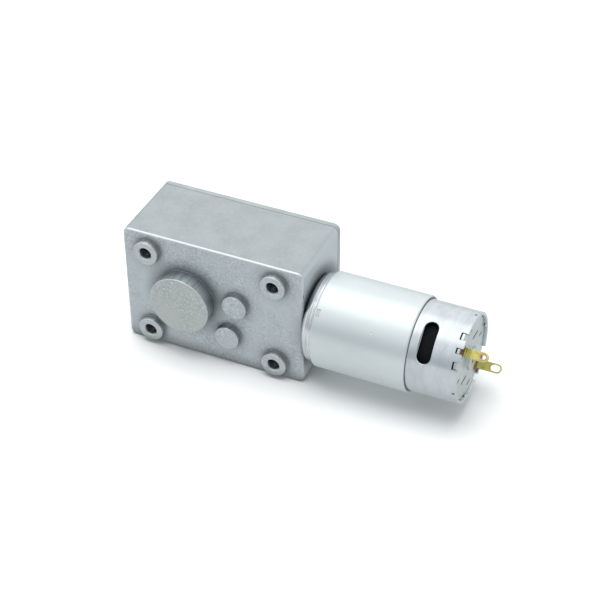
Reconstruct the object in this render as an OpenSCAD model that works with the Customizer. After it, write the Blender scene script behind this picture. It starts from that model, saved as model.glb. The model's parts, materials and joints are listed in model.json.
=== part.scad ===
// Right-angle geared DC motor: a brushed motor drives a worm, and two idler stages carry the
// turn to a D-shaft. X runs along the motor, Y along the output shaft and Z is up.
// The origin is on the output shaft's axis, in the plane of the cover's outer face.

/* [Gearbox] */
// Length of the gearbox along the motor
box_l = 58; // [57:0.5:62]
// Height of the gearbox
box_h = 40; // [39.5:0.5:44]
// Depth of the gearbox with its cover
box_d = 27.2; // [27.2:0.1:29]
// Distance from the far end face to the output axis
axis_from_end = 19.9; // [19:0.1:20.5]
// Height of the output axis above the bottom face
axis_from_bottom = 20.15; // [19.8:0.05:20.5]
// Radius of the gearbox's four long corners
corner_r = 2; // [1:0.5:3]
// Thickness of the housing walls
wall = 2.4; // [2:0.1:2.6]
// Thickness of the cover plate
cover_t = 1.8; // [1.6:0.1:2]

/* [Bosses] */
// Distance between the tapped bosses along X
boss_span_x = 40.9; // [40:0.1:41.5]
// Distance between the tapped bosses along Z
boss_span_z = 28.5; // [28:0.1:29]
// Outside diameter of a tapped boss
boss_d = 7.86; // [7:0.1:8.5]
// How far a tapped boss stands out of the front face
boss_out = 1.9; // [1.5:0.1:2.5]
// Core diameter of the M4 thread in a tapped boss
tap_d = 3.3; // [3.2:0.05:3.5]
// Outside diameter of the blind seat of the output shaft
seat_d = 19.06; // [18:0.1:20]
// How far the blind seat stands out of the front face
seat_out = 4.65; // [4.5:0.1:6]
// Outside diameter of the two blind bosses that hold the idler pins
pin_boss_d = 7.85; // [7:0.1:8.5]
// How far an idler pin's boss stands out of the front face
pin_boss_out = 1.85; // [1.5:0.1:2.5]

/* [Output shaft] */
// Diameter of the free end of the output shaft
shaft_d = 8; // [6:0.5:9]
// Length of the free end of the output shaft
shaft_l = 14.5; // [12:0.5:20]
// Depth of the flat on the output shaft
flat_depth = 1; // [0.5:0.1:1]

/* [Gears] */
// Module of the worm and its wheel
worm_m = 0.6; // [0.6:0.05:0.6]
// Teeth on the worm wheel
wheel_z = 19; // [19:1:19]
// Teeth on the first pinion
first_z = 12; // [12:1:12]
// Teeth on the gear that the first pinion turns
second_z = 38; // [38:1:38]
// Teeth on the second pinion
third_z = 11; // [11:1:11]
// Teeth on the output gear
output_z = 31; // [31:1:31]

/* [Motor] */
// Outside diameter of the motor can
can_d = 27.2; // [27:0.1:28]
// Length of the motor can
can_l = 48.1; // [47.5:0.1:50]
// Outside diameter of the flux ring round the can
ring_d = 28.95; // [28.5:0.05:29.5]
// Length of the flux ring
ring_l = 29; // [28:0.5:30]
// Distance of the motor axis behind the front face of the gearbox
motor_from_front = 10.36; // [10.3:0.01:10.4]
// Height of the motor axis above the bottom face
motor_from_bottom = 18.2; // [18.2:0.01:18.25]
// Turn of the motor about its own axis
motor_roll = 135; // [90:5:180]
// Free length of a solder terminal
terminal_l = 6.9; // [5:0.1:8]

/* [Hidden] */
$fn = 48;

// radial clearance of a running fit, and how far a cut runs past a face
run = 0.04;
past = 1;

// planes of the gearbox
left_x = -axis_from_end;
right_x = box_l - axis_from_end;
bottom_z = -axis_from_bottom;
front_y = -box_d;
gasket_t = 0.2;
cover_y = -cover_t;
rim_y = cover_y - gasket_t;
floor_y = front_y + wall;

// places in X and Z of the tapped bosses, the middle of their pattern set from the far end
pattern_x = left_x + 28.6;
pattern_z = bottom_z + 19.6;
posts = [for (i = [-1, 1], j = [-1, 1]) [pattern_x + i * boss_span_x / 2, pattern_z + j * boss_span_z / 2]];
column_d = 7.6;
tap_depth = 9;
tap_mouth_d = 4.2;
cover_screw_d = 2.5;
cover_screw_l = 9;
screw_head_d = 4.7;
screw_head_h = 1.1;
sink_gap = 0.05;

// gear train: tooth modules, profile shift, and the thinning that leaves backlash
first_m = 0.5;
output_m = 0.8;
first_shift = 0.3;
output_shift = 0.35;
pressure = 20;
thinning = 0.06;
output_reach = output_m * (third_z + output_z) / 2;
second_reach = first_m * (first_z + second_z) / 2;

// worm, single start, and the wheel under it
worm_r = 2.1;
worm_add = 0.55;
worm_ded = 0.7;
worm_lead = PI * worm_m;
worm_turns = 5;
worm_l = worm_turns * worm_lead;
wheel_r = worm_m * wheel_z / 2;
motor_y = front_y + motor_from_front;
motor_z = bottom_z + motor_from_bottom;

// the second pin is a gear reach from the output axis, the first pin hangs below the worm
second_pin_z = 2.45;
second_at = [sqrt(output_reach * output_reach - second_pin_z * second_pin_z), second_pin_z];
first_z_at = motor_z - worm_r - wheel_r;
first_drop = second_pin_z - first_z_at;
first_at = [second_at[0] - sqrt(second_reach * second_reach - first_drop * first_drop), first_z_at];
to_second = atan2(second_at[1], second_at[0]);
to_first = atan2(first_at[1] - second_at[1], first_at[0] - second_at[0]);
pin_d = 2.5;
pin_end_y = cover_y + 0.9;
pin_start_y = front_y - 1.2;

// layers of the gear train along Y
wheel_w = 4.4;
wheel_y0 = motor_y - wheel_w / 2;
wheel_y1 = motor_y + wheel_w / 2;
second_y0 = -13.4;
second_y1 = -10.6;
output_y0 = -10.2;
output_y1 = -4.6;
pad_y = -3.9;

// output shaft and its bearings
journal_d = 10;
collar_d = 12.4;
collar_y = -12.4;
bush_d = 13;
hub_y = -4.2;
step_y = -0.1;
flat_start = 2.5;
relief_w = 0.5;
relief_depth = 0.3;
shaft_in_y = front_y - seat_out + 1.05;
seat_y = front_y - seat_out + 0.85;

// motor along X, counted from its front face, which touches the gearbox
can_wall = 1;
can_round = 2;
can_r = can_d / 2;
bore_r = can_r - can_wall;
motor_x = right_x;
recess = 0.9;
nose_d = 6.4;
nose_l = 2;
ring_from = 3.75;
core_from = 12;
core_l = 20;
magnet_l = 24;
magnet_from = core_from + core_l / 2 - magnet_l / 2;
comm_from = 38.4;
comm_l = 4.8;
comm_d = 6.6;
plate_t = 0.8;
plate_from = can_l - recess - plate_t;
holder_t = 1.7;
rotor_d = 2;
core_d = 18.6;
poles = 5;
terminal_w = 2.8;
terminal_t = 0.5;
terminal_r = 10.4;
terminal_turn = -2;
rim_notches = [[-18.5, 2.3], [0, 1.7], [18.5, 2.3]];
stake_turn = 58;
slot_w = 4.1;
slot_l = 12.2;
slot_from = 35.45;
motor_screw_pitch = 16;
motor_screw_d = 2.5;
motor_wall = 3.2;

// worm's outer support, a rib that stands on the housing's floor
rib_x = 6.6;
rib_t = 2.2;
rib_top_y = motor_y + 2.85;
worm_bush_d = 4.4;

// ---- shared shapes ----

// cylinder along Y at [x, z]
module rod_y(at, y0, y1, d) {
    translate([at[0], y1, at[1]]) rotate([90, 0, 0]) cylinder(h = y1 - y0, d = d);
}

// cone along Y at [x, z], from d0 at y0 to d1 at y1
module cone_y(at, y0, y1, d0, d1) {
    translate([at[0], y1, at[1]]) rotate([90, 0, 0]) cylinder(h = y1 - y0, d1 = d1, d2 = d0);
}

module tube_y(at, y0, y1, d, bore) {
    difference() {
        rod_y(at, y0, y1, d);
        rod_y(at, y0 - past, y1 + past, bore);
    }
}

// flat shape in X and Z, made thick from y0 to y1
module plate_y(y0, y1) {
    translate([0, y1, 0]) rotate([90, 0, 0]) linear_extrude(height = y1 - y0) children();
}

// puts children that are made along Z, in the motor's own turn, on the motor axis
module on_motor(x = 0) {
    translate([motor_x + x, motor_y, motor_z]) rotate([motor_roll, 0, 0]) rotate([0, 90, 0]) children();
}

// box in the motor's own turn: along the axis, outwards towards a terminal, and across
module motor_box(along, out, across) {
    on_motor(along[0]) translate([across[0], out[0], 0]) cube([
        across[1] - across[0], out[1] - out[0], along[1] - along[0]]);
}

module motor_rod(from, to, d) {
    on_motor(from) cylinder(h = to - from, d = d);
}

module motor_tube(from, to, d, bore) {
    difference() {
        motor_rod(from, to, d);
        motor_rod(from - past, to + past, bore);
    }
}

module rounded_rect(w, h, r) {
    translate([r, 0]) square([w - 2 * r, h]);
    translate([0, r]) square([w, h - 2 * r]);
    for (x = [r, w - r], y = [r, h - r]) translate([x, y]) circle(r);
}

module box_outline(inset = 0) {
    translate([left_x + inset, bottom_z + inset])
        rounded_rect(box_l - 2 * inset, box_h - 2 * inset, max(corner_r - inset, 0.8));
}

// pie slice with its middle on the 2D +X axis
module wedge(r, span) {
    reach = r / cos(span / 2);
    polygon([[0, 0], [reach * cos(span / 2), -reach * sin(span / 2)],
        [reach * cos(span / 2), reach * sin(span / 2)]]);
}

// part of a ring, up to 170 degrees wide, with its middle on the 2D +X axis
module arc_band(outer, inner, span) {
    intersection() {
        difference() {
            circle(outer);
            circle(inner);
        }
        wedge(outer + past, span);
    }
}

// ---- gear teeth ----

function involute(a) = tan(a) * 180 / PI - a;
function at_radius(rb, r) = involute(acos(min(1, rb / r)));
function polar(r, a) = [r * cos(a), r * sin(a)];

// outline of an involute gear with one tooth on the 2D +X axis
function gear_outline(m, z, shift) =
    let (
        rp = m * z / 2,
        rb = rp * cos(pressure),
        tip = rp + m * (0.95 + shift),
        root = rp - m * (1.25 - shift),
        low = max(rb, root),
        half = (PI * m / 2 + 2 * shift * m * tan(pressure) - thinning) / (2 * rp) * 180 / PI,
        steps = 5,
        flank = [for (i = [0:steps]) let (r = low + (tip - low) * i / steps)
            [r, half + involute(pressure) - at_radius(rb, r)]],
        foot = flank[0][1])
    [for (k = [0:z - 1]) let (a = 360 / z * k)
        each concat(
            [polar(root, a - foot)],
            [for (f = flank) polar(f[0], a - f[1])],
            [for (i = [steps:-1:0]) polar(flank[i][0], a + flank[i][1])],
            [polar(root, a + foot)])];

module spur_gear(at, y0, y1, m, z, shift, turn, bore) {
    translate([at[0], 0, at[1]]) difference() {
        plate_y(y0, y1) rotate(turn) polygon(gear_outline(m, z, shift));
        rod_y([0, 0], y0 - past, y1 + past, bore);
    }
}

// radius of the worm's cross-section at an angle from the thread's crest
worm_half = (worm_lead / 2 - thinning) / 2;
function worm_radius(a) =
    let (x = abs(a) / 360 * worm_lead)
    min(worm_r + worm_add, max(worm_r - worm_ded, worm_r + (worm_half - x) / tan(pressure)));

// angles at which that section bends, and how many straight steps lie between them
crest_a = (worm_half - worm_add * tan(pressure)) / worm_lead * 360;
valley_a = (worm_half + worm_ded * tan(pressure)) / worm_lead * 360;
worm_angles = concat(
    [for (i = [0:3]) -crest_a + i * crest_a / 2],
    [for (i = [0:4]) crest_a + i * (valley_a - crest_a) / 5],
    [for (i = [0:4]) valley_a + i * (360 - 2 * valley_a) / 5],
    [for (i = [0:4]) 360 - valley_a + i * (valley_a - crest_a) / 5]);

function fold(a) = a > 180 ? a - 360 : a;

// ---- gearbox ----

module gearbox_housing() {
    color("#b9bdbe") difference() {
        union() {
            difference() {
                plate_y(front_y, rim_y) box_outline();
                plate_y(floor_y, rim_y + past) box_outline(wall);
            }
            translate([right_x - motor_wall, front_y, bottom_z + corner_r])
                cube([motor_wall, rim_y - front_y, box_h - 2 * corner_r]);
            for (p = posts) {
                rod_y(p, front_y, rim_y, column_d);
                rod_y(p, front_y - boss_out, floor_y, boss_d);
                // webs that tie a column to the side walls
                side = p[0] < pattern_x ? left_x + wall / 2 : p[0];
                reach = p[0] < pattern_x ? p[0] - side : right_x - wall / 2 - p[0];
                translate([side, floor_y - 0.5, p[1] - 1]) cube([reach, rim_y - floor_y, 2]);
            }
            rod_y([0, 0], front_y - seat_out, floor_y, seat_d);
            for (at = [first_at, second_at]) rod_y(at, front_y - pin_boss_out, floor_y, pin_boss_d);
            rod_y(first_at, front_y, floor_y + 3.6, 6);
            translate([rib_x, floor_y - 0.5, motor_z - 3.4])
                cube([rib_t, rib_top_y - floor_y + 0.5, 6.8]);
        }
        for (p = posts) {
            rod_y(p, front_y - boss_out - past, front_y - boss_out + tap_depth, tap_d);
            cone_y(p, front_y - boss_out - 0.05, front_y - boss_out + 0.45, tap_mouth_d + 0.1, tap_d);
            rod_y(p, rim_y - cover_screw_l, rim_y + past, cover_screw_d);
        }
        rod_y([0, 0], seat_y, floor_y + past, bush_d);
        for (at = [first_at, second_at]) rod_y(at, pin_start_y, floor_y + 5, pin_d);
        translate([rib_x - past, motor_y, motor_z]) rotate([0, 90, 0])
            cylinder(h = rib_t + 2 * past, d = worm_bush_d);
        translate([right_x - motor_wall - past, motor_y, motor_z]) rotate([0, 90, 0])
            cylinder(h = motor_wall + 2 * past, d = nose_d + 2 * run);
        for (s = [-1, 1]) translate([right_x - motor_wall - past, motor_y, motor_z + s * motor_screw_pitch / 2])
            rotate([0, 90, 0]) cylinder(h = motor_wall + 2 * past, d = motor_screw_d + 0.2);
    }
}

module gearbox_cover() {
    color("#c3c6c8") difference() {
        union() {
            plate_y(cover_y, 0) box_outline();
            rod_y([0, 0], hub_y, cover_y, bush_d + 1.6);
            for (at = [first_at, second_at]) rod_y(at, pad_y, cover_y, 4.6);
        }
        rod_y([0, 0], hub_y - past, past, bush_d);
        for (at = [first_at, second_at]) rod_y(at, pad_y - past, pin_end_y, pin_d);
        for (p = posts) {
            rod_y(p, cover_y - past, past, cover_screw_d);
            cone_y(p, -screw_head_h - sink_gap, sink_gap, cover_screw_d, screw_head_d + 2 * sink_gap);
        }
    }
}

module cover_gasket() {
    color("#6f5f45") difference() {
        plate_y(rim_y, cover_y) union() {
            difference() {
                box_outline(0.3);
                box_outline(wall);
            }
            for (p = posts) translate(p) circle(d = column_d);
        }
        for (p = posts) rod_y(p, rim_y - past, cover_y + past, cover_screw_d);
    }
}

module cover_screws() {
    color("#8d9194") for (p = posts) difference() {
        union() {
            rod_y(p, rim_y - cover_screw_l + 1, -screw_head_h, cover_screw_d);
            cone_y(p, -screw_head_h, 0, cover_screw_d, screw_head_d);
        }
        for (turn = [0, 90]) translate([p[0], 0, p[1]]) rotate([0, turn, 0])
            translate([-1.3, -0.8, -0.25]) cube([2.6, 2, 0.5]);
    }
}

module motor_screws() {
    head_h = 1.6;
    color("#8d9194") for (s = [-1, 1])
        translate([right_x - motor_wall, motor_y, motor_z + s * motor_screw_pitch / 2]) rotate([0, 90, 0]) {
            difference() {
                translate([0, 0, -head_h]) cylinder(h = head_h, d = 4.5);
                for (turn = [0, 90]) rotate([0, 0, turn]) translate([-1.2, -0.2, -head_h - past])
                    cube([2.4, 0.4, past + 0.8]);
            }
            cylinder(h = motor_wall + can_wall + 0.6, d = motor_screw_d);
        }
}

// ---- output stage ----

module output_shaft() {
    chamfer = 0.5;
    color("#aeb2b6") difference() {
        union() {
            rod_y([0, 0], shaft_in_y, step_y, journal_d);
            rod_y([0, 0], collar_y, output_y0, collar_d);
            rod_y([0, 0], step_y, shaft_l - chamfer, shaft_d);
            cone_y([0, 0], shaft_l - chamfer, shaft_l, shaft_d, shaft_d - 2 * chamfer);
        }
        translate([-shaft_d, flat_start, shaft_d / 2 - flat_depth])
            cube([2 * shaft_d, shaft_l, flat_depth + past]);
        // relief groove where the flat starts
        tube_y([0, 0], flat_start - relief_w, flat_start, shaft_d + 1, shaft_d - 2 * relief_depth);
    }
}

module output_gear() {
    color("#8f9296") difference() {
        spur_gear([0, 0], output_y0, output_y1, output_m, output_z, -output_shift, to_second, journal_d);
        for (k = [0:5]) rod_y([8.4 * cos(60 * k), 8.4 * sin(60 * k)], output_y0 - past, output_y1 + past, 2.6);
    }
}

module output_spacer() {
    color("#9a9da0") tube_y([0, 0], floor_y + 0.1, collar_y, collar_d, journal_d);
}

module output_shims() {
    color("#b5b8ba") tube_y([0, 0], output_y1, output_y1 + 0.3, collar_d, journal_d);
}

module output_bush() {
    color("#b08a4f") tube_y([0, 0], hub_y, 0, bush_d, journal_d + 2 * run);
}

module inner_bush() {
    color("#b08a4f") tube_y([0, 0], seat_y, floor_y, bush_d, journal_d + 2 * run);
}

// ---- idler stages ----

module first_pin() {
    color("#a9adb0") rod_y(first_at, pin_start_y, pin_end_y, pin_d);
}

module worm_wheel() {
    twist = -wheel_w * worm_m / (2 * worm_r) / wheel_r * 180 / PI;
    color("#c79a3e") translate([first_at[0], 0, first_at[1]]) difference() {
        translate([0, wheel_y1, 0]) rotate([90, 0, 0]) rotate(90 + 180 / wheel_z + twist / 2)
            linear_extrude(height = wheel_w, twist = twist, slices = 3, $fn = 4)
                polygon(gear_outline(worm_m, wheel_z, 0));
        rod_y([0, 0], wheel_y0 - past, wheel_y1 + past, pin_d + 2 * run);
    }
}

module first_pinion() {
    color("#9b9ea2") spur_gear(first_at, wheel_y1, second_y1 + 0.1, first_m, first_z, first_shift,
        to_first + 180 + 180 / first_z, pin_d + 2 * run);
}

module first_spacers() {
    color("#b5b8ba") {
        tube_y(first_at, floor_y + 3.6, wheel_y0 - 0.1, 4.2, pin_d);
        tube_y(first_at, second_y1 + 0.2, pad_y, 4.2, pin_d);
    }
}

module second_pin() {
    color("#a9adb0") difference() {
        rod_y(second_at, pin_start_y, pin_end_y, pin_d);
        tube_y(second_at, second_y0 - 0.6, second_y0 - 0.1, pin_d + 1, pin_d - 0.6);
    }
}

module second_gear() {
    color("#8f9296") difference() {
        spur_gear(second_at, second_y0, second_y1, first_m, second_z, -first_shift, to_first,
            pin_d + 2 * run);
        for (k = [0:4]) rod_y([second_at[0] + 6 * cos(72 * k), second_at[1] + 6 * sin(72 * k)],
            second_y0 - past, second_y1 + past, 2.2);
    }
}

module second_pinion() {
    color("#9b9ea2") spur_gear(second_at, second_y1, output_y1 + 0.3, output_m, third_z, output_shift,
        to_second + 180 + 180 / third_z, pin_d + 2 * run);
}

// open ring in the groove of the second pin, which keeps the gear off the worm
module second_clip() {
    color("#7d8184") difference() {
        tube_y(second_at, second_y0 - 0.6, second_y0 - 0.1, 4.6, pin_d - 0.6);
        translate([second_at[0] - 0.7, second_y0 - past, second_at[1]]) cube([1.4, 2, 4]);
    }
}

module second_spacer() {
    color("#b5b8ba") tube_y(second_at, output_y1 + 0.35, pad_y, 4.2, pin_d);
}

// ---- worm and rotor ----

module worm() {
    twist = -360 * worm_turns;
    color("#a2a5a8") translate([first_at[0], motor_y, motor_z]) rotate([0, 90, 0]) difference() {
        rotate(twist / 2) linear_extrude(height = worm_l, center = true, twist = twist,
            slices = 16 * worm_turns, $fn = 4)
                polygon([for (a = worm_angles) polar(worm_radius(fold(a)), a)]);
        cylinder(h = 2 * worm_l, d = rotor_d, center = true);
    }
}

module worm_bush() {
    color("#b08a4f") translate([rib_x, motor_y, motor_z]) rotate([0, 90, 0]) difference() {
        cylinder(h = rib_t, d = worm_bush_d);
        translate([0, 0, -past]) cylinder(h = rib_t + 2 * past, d = rotor_d + 2 * run);
    }
}

module motor_shaft() {
    start = rib_x + 0.1 - motor_x;
    color("#b4b8bb") motor_rod(start, can_l + 0.6, rotor_d);
}

module core_section(shoe_r, spoke_w, bore) {
    mouth = 1.6;
    difference() {
        union() {
            difference() {
                circle(shoe_r);
                circle(shoe_r - 1.4);
                for (k = [0:poles - 1]) rotate(360 / poles * (k + 0.5))
                    translate([0, -mouth / 2]) square([shoe_r + past, mouth]);
            }
            for (k = [0:poles - 1]) rotate(360 / poles * k)
                translate([0, -spoke_w / 2]) square([shoe_r - 1, spoke_w]);
            circle(3.6);
        }
        circle(d = bore);
    }
}

module armature_core() {
    color("#74787c") on_motor(core_from) linear_extrude(height = core_l)
        core_section(core_d / 2, 2.6, rotor_d);
}

module armature_insulators() {
    color("#8a4a2c") for (x = [core_from - 0.5, core_from + core_l])
        on_motor(x) linear_extrude(height = 0.5) core_section(core_d / 2 - 0.2, 2.6, rotor_d);
}

module armature_windings() {
    overhang = 3.8;
    color("#a8562a") on_motor(core_from - overhang) for (k = [0:poles - 1])
        rotate([0, 0, 360 / poles * k]) difference() {
            linear_extrude(height = core_l + 2 * overhang)
                polygon([[4.1, -2.6], [7, -3.3], [7, 3.3], [4.1, 2.6]]);
            translate([3, -1.35, overhang - 0.55]) cube([5, 2.7, core_l + 1.1]);
        }
}

module commutator_hub() {
    color("#5b3a22") motor_tube(comm_from - 1.2, comm_from + comm_l, comm_d - 1.4, rotor_d);
}

module commutator_bars() {
    color("#b5733a") on_motor(comm_from) linear_extrude(height = comm_l)
        for (k = [0:poles - 1]) rotate(360 / poles * k)
            arc_band(comm_d / 2, comm_d / 2 - 0.7, 360 / poles - 7);
}

module varistor() {
    color("#4a4d55") motor_tube(comm_from - 1.2, comm_from - 0.2, 9.4, comm_d - 1.4);
}

module thrust_washers() {
    color("#d9d6c8") {
        motor_tube(can_wall + 1.4, can_wall + 2, 4.2, rotor_d);
        motor_tube(comm_from + comm_l, comm_from + comm_l + 0.6, 4.2, rotor_d);
    }
}

// ---- motor shell and magnets ----

// round bar on the motor axis whose front edge is rounded
module blunt_rod(from, to, r, round) {
    motor_rod(from, to, 2 * (r - round));
    motor_rod(from + round, to, 2 * r);
    on_motor(from + round) rotate_extrude() translate([r - round, 0]) circle(round);
}

module motor_can() {
    color("#c3c5cb") {
        bare_can();
        // stakes that hold the end plate in
        for (s = [-1, 1], t = [-1, 1]) on_motor(can_l - recess / 2) rotate([0, 0, s * 90 + t * stake_turn])
            translate([bore_r - 0.5, 0, 0]) rotate([0, 90, 0]) cylinder(h = 0.8, d = recess - 0.1);
    }
}

module bare_can() {
    difference() {
        union() {
            blunt_rod(0, can_l, can_r, can_round);
            motor_rod(-nose_l, 1, nose_d);
        }
        blunt_rod(can_wall, can_l + past, bore_r, can_round - can_wall);
        motor_rod(-nose_l - past, 3, nose_d - 1.4);
        // two vent slots, punched straight through the wall
        for (s = [-1, 1]) on_motor(slot_from + slot_w / 2) rotate([0, 0, s * 90]) rotate([0, 90, 0])
            linear_extrude(height = can_r + past) {
                square([slot_w, slot_l - slot_w], center = true);
                for (e = [-1, 1]) translate([0, e * (slot_l - slot_w) / 2]) circle(d = slot_w);
            }
        // notches in the rim, beside and behind each terminal
        for (s = [-1, 1], n = rim_notches) on_motor(plate_from) rotate([0, 0, s * 90 + n[0]])
            translate([bore_r - past, -n[1] / 2, 0]) cube([2 * past + can_wall, n[1], plate_t + recess + past]);
        // dents outside the stakes
        for (s = [-1, 1], t = [-1, 1]) on_motor(can_l - recess / 2) rotate([0, 0, s * 90 + t * stake_turn])
            translate([can_r - 0.4, 0, 0]) rotate([0, 90, 0]) cylinder(h = past, d = 1.5);
        for (s = [-1, 1]) translate([motor_x - past, motor_y, motor_z + s * motor_screw_pitch / 2])
            rotate([0, 90, 0]) cylinder(h = can_wall + 2 * past, d = motor_screw_d);
    }
}

module flux_ring() {
    notch_l = 2.2;
    color("#d5d9da") difference() {
        motor_tube(ring_from, ring_from + ring_l, ring_d, can_d);
        // the seam of the rolled strip, away from the front, and the key notch in its edge
        on_motor(ring_from - past) rotate([0, 0, -30]) translate([can_r - past, -0.1, 0])
            cube([3, 0.2, ring_l + 2 * past]);
        on_motor(ring_from - past) linear_extrude(height = notch_l + past) rotate(90 + 1)
            arc_band(ring_d / 2 + past, can_r - past, 12);
    }
}

module magnets() {
    color("#4b4e52") for (s = [0, 180]) on_motor(magnet_from) linear_extrude(height = magnet_l)
        rotate(s) arc_band(bore_r - 0.02, core_d / 2 + 0.55, 124);
}

module magnet_clips() {
    color("#9fa3a6") for (s = [90, 270]) on_motor(magnet_from) linear_extrude(height = magnet_l)
        rotate(s) arc_band(bore_r, bore_r - 0.6, 52);
}

module front_bush() {
    color("#b08a4f") motor_tube(-nose_l + 0.2, can_wall + 1.3, nose_d - 1.4, rotor_d + 2 * run);
}

module rear_bush() {
    color("#b08a4f") motor_tube(plate_from - 1.6, can_l + 0.2, 5, rotor_d + 2 * run);
}

// ---- rear end of the motor ----

// place of the children on one side of the motor axis, then on the other, with the terminals' own turn
module terminal_sides() {
    for (s = [0, 1]) mirror_side(s) at_terminal() children();
}

module at_terminal() {
    translate([0, motor_y, motor_z]) rotate([terminal_turn, 0, 0]) translate([0, -motor_y, -motor_z]) children();
}

module end_plate() {
    // half slots in the plate: middle in Y and Z from the motor axis, and length
    slots = [[9.1, 1.9, 2.2], [4.1, 5.3, 4.4], [0.95, -9.8, 3.2]];
    color("#c9cccf") difference() {
        union() {
            motor_rod(plate_from, plate_from + plate_t, 2 * bore_r);
            motor_rod(plate_from, can_l + 0.1, 7);
            // ears that sit in the notches of the rim
            for (s = [-1, 1], n = rim_notches) on_motor(plate_from) rotate([0, 0, s * 90 + n[0]])
                translate([bore_r - past, -n[1] / 2, 0]) cube([past + can_wall - 0.25, n[1], plate_t]);
        }
        motor_rod(plate_from - past, can_l + past, 5);
        terminal_sides() motor_box([plate_from - past, can_l], [terminal_r - 1, terminal_r + 1], [-2, 2]);
        for (h = slots, s = [-1, 1])
            translate([motor_x + plate_from - past, motor_y + s * h[0] - h[2] / 2, motor_z + s * h[1] - 0.3])
                cube([plate_t + 2 * past, h[2], 0.6]);
    }
}

module terminal_hole(x0, x1) {
    motor_box([x0, x1], [terminal_r - terminal_t / 2, terminal_r + terminal_t / 2],
        [-terminal_w / 2, terminal_w / 2]);
}

module terminal_insulators() {
    color("#b5645a") terminal_sides() difference() {
        motor_box([plate_from - 0.3, plate_from + plate_t + 0.3], [terminal_r - 1, terminal_r + 1], [-2, 2]);
        terminal_hole(plate_from - past, can_l);
    }
}

module brush_holder() {
    holder_from = plate_from - 0.3 - holder_t;
    color("#33363a") difference() {
        union() {
            motor_tube(holder_from, holder_from + holder_t, 2 * bore_r - 0.2, 9);
            motor_tube(comm_from + 1, holder_from + 0.1, 2 * bore_r - 0.2, 2 * bore_r - 2.4);
            // sleeve that keeps grit from the vent slots off the commutator
            motor_tube(slot_from - 0.9, comm_from + 1.1, 2 * bore_r - 2.2, 2 * bore_r - 4.2);
        }
        terminal_sides() {
            terminal_hole(holder_from - past, plate_from);
            motor_box([comm_from + 1.1, holder_from + 0.1], [terminal_r - 1.8, terminal_r + 3], [-2.2, 7.4]);
        }
    }
}

module brushes() {
    color("#2b2b2d") for (s = [0, 1]) mirror_side(s)
        motor_box([comm_from + 0.6, comm_from + 3.6], [comm_d / 2 + 0.05, comm_d / 2 + 2.2], [-1.1, 1.1]);
}

module brush_arms() {
    leaf_out = comm_d / 2 + 2.2;
    foot = plate_from - 0.3 - holder_t;
    color("#c9a45c") for (s = [0, 1]) mirror_side(s) {
        motor_box([comm_from + 0.8, foot], [leaf_out, leaf_out + 0.3], [-1.2, 7]);
        motor_box([foot - 0.3, foot], [leaf_out, terminal_r - 1.5], [4, 7]);
        at_terminal() motor_box([foot - 0.3, foot], [terminal_r - 2, terminal_r - terminal_t / 2], [-terminal_w / 2, 7]);
    }
}

// the same shape again, half a turn round the motor axis
module mirror_side(s) {
    translate([0, motor_y, motor_z]) rotate([180 * s, 0, 0]) translate([0, -motor_y, -motor_z]) children();
}

module terminal(s) {
    free_r = terminal_w / 2;
    tip = can_l + terminal_l;
    color("#c8b63c") mirror_side(s) at_terminal() on_motor() rotate([90, 0, 0])
        translate([0, 0, -terminal_r - terminal_t / 2]) linear_extrude(height = terminal_t) difference() {
            union() {
                translate([-free_r, plate_from - 2.3]) square([terminal_w, tip - free_r - plate_from + 2.3]);
                translate([0, tip - free_r]) circle(free_r);
            }
            for (h = [0, 0.9]) translate([0, tip - free_r - h]) circle(1);
            translate([-1, tip - free_r - 0.9]) square([2, 0.9]);
        }
}

module terminal_front() {
    terminal(0);
}

module terminal_back() {
    terminal(1);
}

gearbox_housing();
gearbox_cover();
cover_gasket();
cover_screws();
motor_screws();
output_shaft();
output_gear();
output_spacer();
output_shims();
output_bush();
inner_bush();
first_pin();
worm_wheel();
first_pinion();
first_spacers();
second_pin();
second_gear();
second_pinion();
second_clip();
second_spacer();
worm();
worm_bush();
motor_shaft();
armature_core();
armature_windings();
armature_insulators();
commutator_hub();
commutator_bars();
varistor();
thrust_washers();
motor_can();
flux_ring();
magnets();
magnet_clips();
front_bush();
rear_bush();
end_plate();
brush_holder();
brushes();
brush_arms();
terminal_front();
terminal_back();
terminal_insulators();
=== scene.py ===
import json
import math

import bmesh
import bpy
from mathutils import Matrix, Vector


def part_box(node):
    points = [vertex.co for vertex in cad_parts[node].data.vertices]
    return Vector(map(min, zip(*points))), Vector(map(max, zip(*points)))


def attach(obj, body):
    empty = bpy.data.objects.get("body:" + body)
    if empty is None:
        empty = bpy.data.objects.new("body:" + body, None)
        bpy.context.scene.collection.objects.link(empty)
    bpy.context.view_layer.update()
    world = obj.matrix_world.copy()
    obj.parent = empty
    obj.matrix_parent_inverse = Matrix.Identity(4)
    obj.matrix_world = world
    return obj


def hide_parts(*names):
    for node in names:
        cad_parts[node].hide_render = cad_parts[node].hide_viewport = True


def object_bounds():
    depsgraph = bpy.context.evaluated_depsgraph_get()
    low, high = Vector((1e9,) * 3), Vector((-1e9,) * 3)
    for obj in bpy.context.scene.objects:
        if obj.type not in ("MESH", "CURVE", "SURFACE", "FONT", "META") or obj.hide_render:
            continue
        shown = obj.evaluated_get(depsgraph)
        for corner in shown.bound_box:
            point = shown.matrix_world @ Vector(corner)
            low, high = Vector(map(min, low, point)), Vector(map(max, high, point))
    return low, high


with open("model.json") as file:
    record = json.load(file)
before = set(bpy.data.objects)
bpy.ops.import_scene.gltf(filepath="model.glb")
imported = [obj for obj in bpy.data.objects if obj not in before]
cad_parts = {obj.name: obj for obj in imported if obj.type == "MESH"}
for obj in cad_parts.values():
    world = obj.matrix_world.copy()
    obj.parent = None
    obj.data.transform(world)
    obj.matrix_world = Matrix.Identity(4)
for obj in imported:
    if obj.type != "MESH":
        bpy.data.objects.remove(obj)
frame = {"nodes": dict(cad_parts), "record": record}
cad_low, cad_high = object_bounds()

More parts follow.
